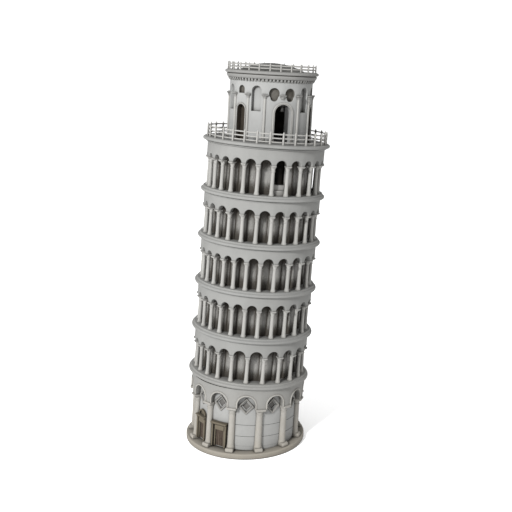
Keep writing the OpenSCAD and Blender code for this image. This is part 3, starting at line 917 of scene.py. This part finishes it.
def portal(turn, node, reach, lunette):
    """Jambs, an architrave over the door and a moulded lintel, all buried a little in the wall."""
    shape = Shape()
    wall = GROUND_WALL
    lintel = PORTAL_TOP - 2.0
    for side in (-1, 1):
        for near, far, foot, head, out, size in (
            (reach - 1.8, reach - 0.5, GROUND_FOOT, lintel + 0.2, 2.6, 0.3),
            (LEAF_HALF + 0.05, LEAF_HALF + 1.05, GROUND_FOOT, DOOR_TOP + 0.3, 1.0, 0.2),
            (reach - 2.0, reach - 0.3, lintel - 1.1, lintel - 0.2, 2.8, 0.2),
        ):
            shape.add(slab(*sorted((side * near, side * far)), foot, head, wall + out, size), turn)
    for half, foot, head, out, size in (
        (4.75, DOOR_TOP + 0.05, lintel + 0.1, 1.0, 0.2),
        (4.4, DOOR_TOP + 0.6, lintel - 0.9, 1.6, 0.25),
        (reach - 0.5, lintel, lintel + 0.8, 3.2, 0.25),
        (reach, lintel + 0.75, PORTAL_TOP - 0.1, 4.0, 0.3),
    ):
        shape.add(slab(-half, half, foot, head, wall + out, size), turn)
    if lunette:
        band = shifted([(0, -0.6), (0, 1.7), (0.25, 1.95), (1.0, 1.95), (1.25, 1.7), (1.25, -0.6)], y=wall)
        arch = arch_outline(LUNETTE_R, PORTAL_TOP - 0.2, PORTAL_TOP, 1, 18)
        shape.add(moulding(arch, soft(band, 0.15, 2, closed=True)), turn)
        tympanum = shifted([(-3.2, -0.5), (-3.2, 0.55), (0.2, 0.5), (0.2, -0.5)], y=wall)
        shape.add(moulding(arch, tympanum), turn)
    make(shape, node, GROUND, finish=PORTAL)


def door(turn, node):
    """Four planks with two ledges across them and a ring handle."""
    shape = Shape()
    face = GROUND_WALL - 0.25
    planks, gap = 4, 0.04
    width = 2 * LEAF_HALF / planks
    for i in range(planks):
        left = -LEAF_HALF + i * width
        span = (left + gap, left + width - gap)
        shape.add(slab(*span, -0.2, DOOR_TOP - 0.1, face, 0.14, GROUND_WALL - 1.3), turn)
    for z in (3.0, 10.0):
        half = LEAF_HALF - 0.3
        shape.add(slab(-half, half, z, z + 0.8, face + 0.18, 0.12, GROUND_WALL - 1.2), turn)
    ring = [(0.45 + 0.12 * cos(a), 0.12 * sin(a)) for a in (0, 1.571, 3.142, 4.712)]
    rows = []
    for r, depth in ring + ring[:1]:
        turns = [radians(a) for a in range(0, 360, 30)]
        rows.append([(1.1 + r * cos(a), -(face + 0.12 + depth), 6.6 + r * sin(a)) for a in turns])
    shape.add(skin(rows, closed=True), turn)
    make(shape, node, GROUND, wobble=0.02)


# ---- galleries


def floor_profile(nose_r, top):
    """A slab with a rounded nose, a cove and a second small moulding under it."""
    under = [(-3.5, -FLOOR_UNDER), (-3.5, -2.8), (-2.85, -2.72), (-2.5, -2.5), (-2.35, -1.98)]
    under += [(-2.85, -1.82), (-2.6, -1.6), (-1.6, -1.5)]
    outline = [(0, -FLOOR_UNDER)] + shifted(under, nose_r)
    outline += arc((nose_r - 1.25, -0.3), 1.25, -78, 78, 10)
    kerb = [(-1.35, 1.15), (-1.7, 1.4), (-1.72, top - 0.3), (-2.0, top)] if top > 2 else [(-1.4, top)]
    outline += shifted(kerb, nose_r)
    outline += [(nose_r - 8, top), (SPIGOT_R, top), (0, top)]
    return soft(outline, 0.1, 2)


def round_floor(node, nose_r, top, place):
    make(Shape().add(lathe(floor_profile(nose_r - 0.03, top), 168)), node, place, wobble=0.03)


def floor(k):
    round_floor("floor_%d" % (k + 1), FLOOR_R, FLOOR_TOP, STOREYS[k])


def core(k):
    """A plain drum; the top one has a blind doorway in it, its back painted black as painted shade."""
    shape = Shape()
    node = "core_%d" % (k + 1)
    top = LENGTHS[k] - FLOOR_UNDER + 0.5
    low = FLOOR_TOP - 0.5
    if k < 4:
        shape.add(lathe([(0, low), (CORE_R, low), (CORE_R, top), (0, top)], 120))
        make(shape, node, STOREYS[k], finish=HOLLOW)
        return
    half, across, side = 15.0, 12, 12
    levels = [(z, CORE_R) for z in spaced(low, top, side)]
    outline = arch_outline(*DOORWAY, 8, 20, across)
    border = rim(spaced(-half, half, across), levels)
    # The doorway's back takes finish 1, black painted shade.
    sunk(shape, outline, edge(CORE_R - DOORWAY_DEPTH, CORE_R, 0.3), border, DOORWAY_ANGLE, 1)
    shape.add(skin(lattice(spaced(half, 360 - half, 132), levels)), DOORWAY_ANGLE)
    for z in (low, top):
        shape.add(lathe([(0, z), (CORE_R, z)], 144), DOORWAY_ANGLE)
    make(shape, node, STOREYS[k], finish=HOLLOW, extra=[CORE_DOORWAY_SHADE])


def column_angles(k):
    return [column_angle(k, i) for i in range(COUNTS[k])]


def pilasters(k):
    """Half-round ribs on the core, behind the columns, clear of the doorway."""
    top = LENGTHS[k] - FLOOR_UNDER + 0.3
    foot = [(0, -0.3), (2.0, -0.3), (2.0, 0.6), (RIB_R + 0.1, 1.6), (RIB_R, 2.4)]
    outline = shifted(foot, y=FLOOR_TOP) + [(RIB_R - 0.1, top), (0, top)]
    rib = turned_part(soft(outline, 0.3, 2), CORE_R - 0.1, 0, 16)
    turns = [turn for turn in column_angles(k) if k < 4 or abs(turn - DOORWAY_ANGLE) > DOORWAY_CLEAR]
    shape = Shape().ring(rib, turns)
    make(shape, "pilasters_%d" % (k + 1), STOREYS[k], finish=HOLLOW)


def column_profile(h):
    """A turned column of height h: spreading foot, tapered shaft, necking ring and cushion cap."""
    outline = [(0, -0.3), (2.25, -0.3), (2.25, 0.45), (2.0, 0.75), (2.05, 1.15), (1.8, 1.7), (1.62, 2.7)]
    cap = [(1.36, -3.9), (1.36, -3.8), (1.72, -3.6), (1.72, -3.2), (1.38, -3.0), (1.42, -2.4)]
    cap += [(1.62, -1.5), (1.88, -0.7), (1.95, -0.2), (1.95, 0.2), (0, 0.2)]
    outline += [(1.55, 5.0)] + shifted(cap, y=h)
    return soft(outline, 0.25, 2)


def gallery_columns(k):
    shape = Shape()
    spring = SPRINGINGS[k]
    h = spring - FLOOR_TOP - 1.2
    column = turned_part(column_profile(h), COLUMN_RING, FLOOR_TOP, 24)
    levels = [(1.55, 0.2, 0, -1.3), (1.75, 0.45, -0.1, -0.85), (1.95, 0.85, -0.3, -0.6)]
    levels += [(1.95, 0.88, -0.3, -0.12), (1.8, 0.7, -0.2, 0.02)]
    impost = stack(levels, 0.3, (ARCADE_R, ARCADE_R - WALL_THICK, spring))
    for turn in column_angles(k):
        shape.add(spun_in_place(column, RNG.uniform(-6, 6)), turn + RNG.uniform(-0.12, 0.12))
        shape.add(impost, turn)
    make(shape, "columns_%d" % (k + 1), STOREYS[k], wobble=0.09)


def spun_in_place(part, angle):
    """A column turned about its own axis, so that no two show the same facets."""
    return moved(spun(moved(part, y=COLUMN_RING), angle), y=-COLUMN_RING)


def arcade(k):
    spring = SPRINGINGS[k]
    r_in = ARCADE_R - WALL_THICK
    section = shifted([(0.3, 0), (0.08, 0.1), (0, 0.4)], y=r_in) + edge(r_in + 1.5, ARCADE_R, 0.45, 4)
    top = LENGTHS[k] - FLOOR_UNDER + 0.3
    shape = Shape()
    for turn, half in bays(lambda i: column_angle(k, i), COUNTS[k]):
        outline = arch_outline(radians(half) * COLUMN_RING - ARCH_GAP, spring, spring, 0, 20)
        shape.add(arcade_bay(half, spring, top, r_in, ARCADE_R, outline, section, 8), turn)
    make(shape, "arcade_%d" % (k + 1), STOREYS[k])


def doorway_step():
    shape = Shape()
    half, inner = 4.4, CORE_R - 1.5
    for out, rise in ((2.2, 8.1), (3.8, 4.0)):
        part = block((-half, half), (-CORE_R - out, -inner), (FLOOR_TOP - 0.4, FLOOR_TOP + rise), 0.3)
        shape.add(part, DOORWAY_ANGLE)
    make(shape, "doorway_step", STOREYS[4])


# ---- railings


def post_profile(r, h):
    """A slim post with a collar at its foot and a pointed tip."""
    outline = [(0, -0.3), (r * 1.25, -0.3), (r * 1.25, 0.25), (r, 0.55), (r * 0.94, h - 2.6 * r)]
    outline += [(r * 1.02, h - 2.3 * r), (r * 0.9, h - 1.6 * r), (r * 0.45, h - 0.6 * r), (0, h)]
    return soft(outline, 0.15, 2)


def hoop(r, level, size, waves):
    """A rail of rounded square section that sags a hair between its posts."""
    half = size / 2
    corners = [(-half, -half), (half, -half), (half, half), (-half, half)]
    section = soft(corners, size * 0.3, 2, closed=True)
    steps = waves * 6
    rows = []
    for i in range(steps):
        a = 2 * pi * i / steps
        sag = 0.06 * sin(pi * (i % 6) / 6)
        c, s = cos(a), sin(a)
        rows.append([((r + dx) * s, -(r + dx) * c, level + dz - sag) for dx, dz in section])
    return skin(rows, closed=True, looped=True)


def railing(kind, place, base, ring, post_r, jitter, levels, inset, size):
    """A ring of posts, and the rails that run a little inside them."""
    count, phase, r, height = ring
    posts, rails = Shape(), Shape()
    post = turned_part(post_profile(post_r, height), r, base, 12)
    for i in range(count):
        posts.add(post, phase + i * 360 / count + RNG.uniform(-jitter, jitter))
    make(posts, kind + "_posts", place, wobble=0.1)
    for level in levels:
        rails.add(hoop(r - inset, base + level, size, count), phase)
    make(rails, kind + "_rails", place, wobble=0.12)


# ---- bell chamber

CHAMBER_FOOT = -2.5
OPENING_FOOT = -1.6
CHAMBER_SPLIT = 31.9
WALL_TOP = CHAMBER_TOP + 0.4
BAY_ACROSS = 8


def belfry_drum():
    """Fifteen bays of wall. A wide arch takes two bays, and goes right through."""
    shape = Shape()
    r = CHAMBER_R
    low = spaced(CHAMBER_FOOT, CHAMBER_SPLIT, 12)
    high = spaced(CHAMBER_SPLIT, WALL_TOP, 8)
    whole = low + high[1:]
    one = spaced(-BAY / 2, BAY / 2, BAY_ACROSS)
    two = spaced(-BAY - WIDE_TURN, BAY - WIDE_TURN, 2 * BAY_ACROSS)

    def levels(heights, at):
        return [(z, at) for z in heights]

    tall = arch_outline(*TALL, 14, 20, BAY_ACROSS)
    narrow = arch_outline(NARROW[0], OPENING_FOOT, NARROW[1], 8, 16, BAY_ACROSS)
    small = arch_outline(*SMALL, 4, 16, BAY_ACROSS)
    wide = arch_outline(WIDE[0], OPENING_FOOT, WIDE[1], 10, 20, 2 * BAY_ACROSS)
    for b in range(BAYS):
        turn = CHAMBER_PHASE + (b + 0.5) * BAY
        if b in TALL_BAYS:
            shape.add(holed_wall(tall, edge(r - 4, r, 0.25), rim(one, levels(whole, r))), turn)
        elif b in NARROW_BAYS:
            # The narrow doorway's back takes finish 3 and the small opening's back above it finish 2, both
            # painted shade.
            sunk(shape, narrow, edge(r - 4.6, r, 0.25), rim(one, levels(low, r)), turn, 3)
            sunk(shape, small, edge(r - 2.4, r, 0.25), rim(one, levels(high, r)), turn, 2)
        else:
            middle = -0.82 if b in WIDE_LINES else 0.14
            drop = drop_outline(*DROP, 8, BAY_ACROSS, middle)
            # The round recess's back takes finish 2, painted shade.
            sunk(shape, drop, edge(r - 3, r, 0.25), rim(one, levels(high, r)), turn, 2)
        beside_wide = b in WIDE_LINES or (b + 1) % BAYS in WIDE_LINES
        lining = levels(high if beside_wide else whole, CHAMBER_IN)
        # The lining inside the chamber takes finish 1, painted shade.
        shape.add(skin(lattice(one, lining)), turn, finish=1)
    for line in WIDE_LINES:
        turn = CHAMBER_PHASE + line * BAY + WIDE_TURN
        rows = pressed(wide, edge(r - 5.9, r, 0.3))
        shape.add(skin(rows + [rim(two, levels(low, r))], closed=True), turn)
        inside = rim(two, levels(low, CHAMBER_IN))
        # The reveal through the wide arch takes finish 1, painted shade.
        shape.add(skin([inside, rows[0]], closed=True), turn, finish=1)
    count = BAYS * BAY_ACROSS
    for z in (CHAMBER_FOOT, WALL_TOP):
        shape.add(lathe([(CHAMBER_IN, z), (r, z)], count), CHAMBER_PHASE)
    make(shape, "belfry_drum", CHAMBER, finish=WALL, extra=[CHAMBER_SHADE, OPENING_BACK_SHADE, NARROW_DOORWAY_SHADE])


def belfry_colonnettes():
    """A half-round shaft on each bay line that no wide arch cuts."""
    lines = [CHAMBER_PHASE + b * BAY for b in range(BAYS) if b not in WIDE_LINES]
    top = STRING_TOP - 3
    shaft = [(0, CHAMBER_FOOT), (1.2, CHAMBER_FOOT), (1.2, 3.0), (1.5, 3.3), (1.5, 3.9), (1.15, 4.2)]
    shaft += [(1.05, top - 0.6), (1.15, top), (0, top)]
    shape = Shape().ring(turned_part(soft(shaft, 0.25, 2), CHAMBER_R), lines)
    make(shape, "belfry_colonnettes", CHAMBER)


def belfry_capitals():
    shape = Shape()
    cone = [(0, -0.1), (1.15, -0.1), (1.45, 0.15), (1.25, 0.5), (1.6, 1.2), (2.1, 1.9), (0, 1.9)]
    capital = turned_part(soft(shifted(cone, y=STRING_TOP - 3), 0.2, 2), CHAMBER_R)
    levels = [(1.9, 1.5, 0, -1.3), (2.35, 2.0, 0, -0.8), (2.5, 2.28, 0, -0.6)]
    levels += [(2.5, 2.28, 0, -0.15), (2.35, 2.1, 0, 0)]
    shelf = stack(levels, 0.35, (CHAMBER_R, CHAMBER_R - 1, STRING_TOP))
    for b in range(BAYS):
        turn = CHAMBER_PHASE + b * BAY
        shape.add(capital, turn)
        shape.add(shelf, turn)
    make(shape, "belfry_capitals", CHAMBER, finish=BAND)


def opening_rims():
    """Stepped bands round the wide arches and the narrow doorways."""

    def section(width):
        points = [(0.02, -0.6), (0.02, 0.2), (0.15, 0.35), (0.5, 0.35), (0.62, 0.2), (0.75, 0.25)]
        points += [(0.9, 0.68), (width - 0.2, 0.68), (width, 0.45), (width, -0.6)]
        return soft(shifted(points, y=CHAMBER_R), 0.08, 1, closed=True)

    wide = moulding(arch_outline(WIDE[0], OPENING_FOOT, WIDE[1], 6, 24), section(1.8))
    narrow = moulding(arch_outline(NARROW[0], OPENING_FOOT, NARROW[1], 6, 20), section(1.2))
    shape = Shape().ring(wide, [CHAMBER_PHASE + line * BAY + WIDE_TURN for line in WIDE_LINES])
    shape.ring(narrow, [CHAMBER_PHASE + (b + 0.5) * BAY for b in NARROW_BAYS])
    make(shape, "opening_rims", CHAMBER)


def corbel_table():
    shape = Shape()
    r = CHAMBER_R
    side = [(0.4, 0), (-1.6, 0), (-1.6, -0.7), (-1.3, -1.3), (-0.8, -1.8), (-0.3, -2.4), (0.4, -2.4)]
    outline = soft(shifted(side, -r, CHAMBER_TOP), 0.3, 2, closed=True)
    for i in range(CORBELS):
        half = 0.82 + RNG.uniform(-0.2, 0.16)
        steps = ((-half, 0.985), (-half + 0.15, 1.0), (half - 0.15, 1.0), (half, 0.985))
        rows = [[(x, y * k + (1 - k) * -r, z) for y, z in outline] for x, k in steps]
        shape.add(skin(rows, closed=True, capped=True), i * 360 / CORBELS + RNG.uniform(-0.35, 0.35))
    make(shape, "corbel_table", CHAMBER, wobble=0.12)


def belfry_cornice():
    """A spreading bed moulding, a groove and a fat nose, under a rough dark roof."""
    r = CORNICE_R - 0.02
    top = CORNICE_H
    bed = [(-2.35, 0), (-2.0, 0.5), (-1.55, 1.2), (-1.3, 2.1), (-1.3, 2.7), (-1.9, 2.95), (-1.9, 3.2)]
    outline = [(0, 0)] + shifted(bed + [(-1.4, 3.33)], r)
    outline += arc((r - 1.1, 4.4), 1.1, -75, 84, 10)
    outline += [(r - 1.5, top)]
    shape = Shape().add(moved(lathe(soft(outline, 0.1, 2), 150), z=CHAMBER_TOP))
    roof = [(r - 1.5, top), (r - 2.3, top - 0.02), (DOME_R, top - 0.04), (0, top - 0.04)]
    shape.add(moved(lathe(roof, 150), z=CHAMBER_TOP), finish=1)
    make(shape, "belfry_cornice", CHAMBER, finish=BAND, extra=[ROOF])


def roof_dome():
    rise = 6.0
    cap_r = (DOME_R**2 + rise**2) / (2 * rise)
    spread = degrees(asin(DOME_R / cap_r))
    shell = arc((0, rise - cap_r), cap_r, 90 - spread, 90, 14)
    shell[-1] = (0, rise)
    outline = [(0, -0.3), (DOME_R, -0.3), (DOME_R, 0.0)] + shell[1:]
    shape = Shape().add(moved(lathe(outline, 96), z=CHAMBER_TOP + CORNICE_H), finish=1)
    make(shape, "roof_dome", CHAMBER, extra=[DOME])


# ---- bells


def bell_place(pivot, axis, hang):
    """A frame at a bell's pivot, its X along the bar and its Z along the hanging direction's opposite."""
    x = Vector(axis).normalized()
    y = Vector(hang).cross(x).normalized()
    return axes(x, y, x.cross(y), pivot)


def ring_lug(r_out, r_in, half):
    """A short tube about the X axis."""
    section = soft([(-half, r_in), (half, r_in), (half, r_out), (-half, r_out)], 0.12, 2, closed=True)
    turns = [2 * pi * i / 24 for i in range(24)]
    rows = [[(x, r * cos(a), r * sin(a)) for x, r in section] for a in turns]
    return skin(rows, closed=True, looped=True)


def bells():
    bell = [(0, -0.92), (0.7, -0.92), (0.98, -1.15), (1.1, -1.6), (1.16, -2.2), (1.24, -2.6), (1.4, -3.0)]
    bell += [(1.34, -3.05), (1.45, -3.15), (1.7, -3.5), (1.8, -3.62), (1.8, -3.78), (1.5, -3.8)]
    bell += [(1.3, -3.3), (1.05, -2.8), (0.85, -2.2), (0.7, -1.5), (0, -1.5)]
    for i, joint in enumerate(frame["joints"]):
        name = "bell_%d" % (i + 1)
        place = bell_place(pivots[i], joint["axis"], (0, 0, 1))
        shape = Shape().add(lathe(soft(bell, 0.12, 2), 32))
        shape.add(ring_lug(0.95, 0.45, 0.7))
        shape.add(block((-0.55, 0.55), (-0.55, 0.55), (-1.3, -0.6), 0.12))
        make(shape, name, place, body=name, wobble=0.0)
        bar = [(0, -6.2), (0.4, -6.2), (0.4, -1.1), (0.4, 1.1), (0.4, 6.2), (0, 6.2)]
        points, faces = lathe(bar, 20)
        rod = Shape().add(([(z, y, x) for x, y, z in points], faces))
        make(rod, "bell_bar_%d" % (i + 1), place, wobble=0.0)


# ---- the whole model

for build in (
    plinth, base_pad, ground_drum, ground_columns, ground_arcade, ground_archivolts, lozenge_frames,
):
    build()
portal(MAIN_BAY, "main_portal", MAIN_HALF, lunette=True)
portal(SIDE_BAY, "side_portal", SIDE_HALF, lunette=False)
door(MAIN_BAY, "main_door")
door(SIDE_BAY, "side_door")
for storey in range(5):
    for build in (floor, core, pilasters, gallery_columns, arcade):
        build(storey)
doorway_step()
round_floor("gallery_deck", radius("gallery_deck"), DECK_TOP, DECK)
railing("gallery", DECK, DECK_TOP, GALLERY_RAILING, 0.78, 0.15, (1.9, 4.9, 7.9), 0.65, 0.98)
for build in (
    belfry_drum, belfry_colonnettes, belfry_capitals, opening_rims, corbel_table, belfry_cornice, roof_dome,
):
    build()
railing("top", CHAMBER, CHAMBER_TOP + CORNICE_H, TOP_RAILING, 0.56, 0.2, (2.1, 4.3), 0.45, 0.8)
bells()


# ---- studio, in metres and watts

SKY_STRENGTH = 1.13
FLOOR_GLOW = 0.06
TOWER_MIDDLE = (0.012, 0.0, 0.15)
KEY_PLACE = (-1.03, -0.86, 0.86)
KEY_SIZE = 0.22
KEY_POWER = 47.0
EYE = (-0.2563, -0.6839, 0.3306)
EYE_TURN, EYE_TIP = radians(21.28), radians(13.41)


def pale_floor():
    n = Nodes("studio_floor")
    white = n.mix(n.ramp(n.noise(3.0), 0.3, 0.7), (0.97, 0.97, 0.97), (0.98, 0.98, 0.98))
    glow = {"Emission_Color": (1.0, 1.0, 1.0, 1.0), "Emission_Strength": FLOOR_GLOW}
    n.surface(white, Roughness=0.9, Specular_IOR_Level=0.1, **glow)
    mesh = bpy.data.meshes.new("studio_floor")
    half = 30.0
    corners = [(-half, -half, 0), (half, -half, 0), (half, half, 0), (-half, half, 0)]
    mesh.from_pydata(corners, [], [(0, 1, 2, 3)])
    mesh.materials.append(n.material)
    placed("studio_floor", mesh)


def softbox(name, place, target, size, power):
    light = bpy.data.lights.new(name, "AREA")
    light.shape = "DISK"
    light.size = size
    light.energy = power
    lamp = placed(name, light)
    lamp.location = place
    lamp.rotation_euler = (Vector(target) - Vector(place)).to_track_quat("-Z", "Y").to_euler()


def studio():
    world = bpy.data.worlds.new("studio")
    world.use_nodes = True
    sky = world.node_tree.nodes["Background"]
    sky.inputs["Color"].default_value = (1.0, 1.0, 1.0, 1.0)
    sky.inputs["Strength"].default_value = SKY_STRENGTH
    bpy.context.scene.world = world
    softbox("key", KEY_PLACE, TOWER_MIDDLE, KEY_SIZE, KEY_POWER)
    bpy.context.scene.view_settings.view_transform = "Standard"
    pale_floor()


def camera():
    """The eye sits a little above the top deck, left of the front, and looks down 13 degrees."""
    lens = bpy.data.cameras.new("camera")
    lens.lens = 64.84
    lens.sensor_width = 36.0
    lens.clip_start = 0.01
    view = placed("camera", lens)
    view.location = EYE
    view.rotation_euler = (pi / 2 - EYE_TIP, 0, -EYE_TURN)
    bpy.context.scene.camera = view


studio()
camera()
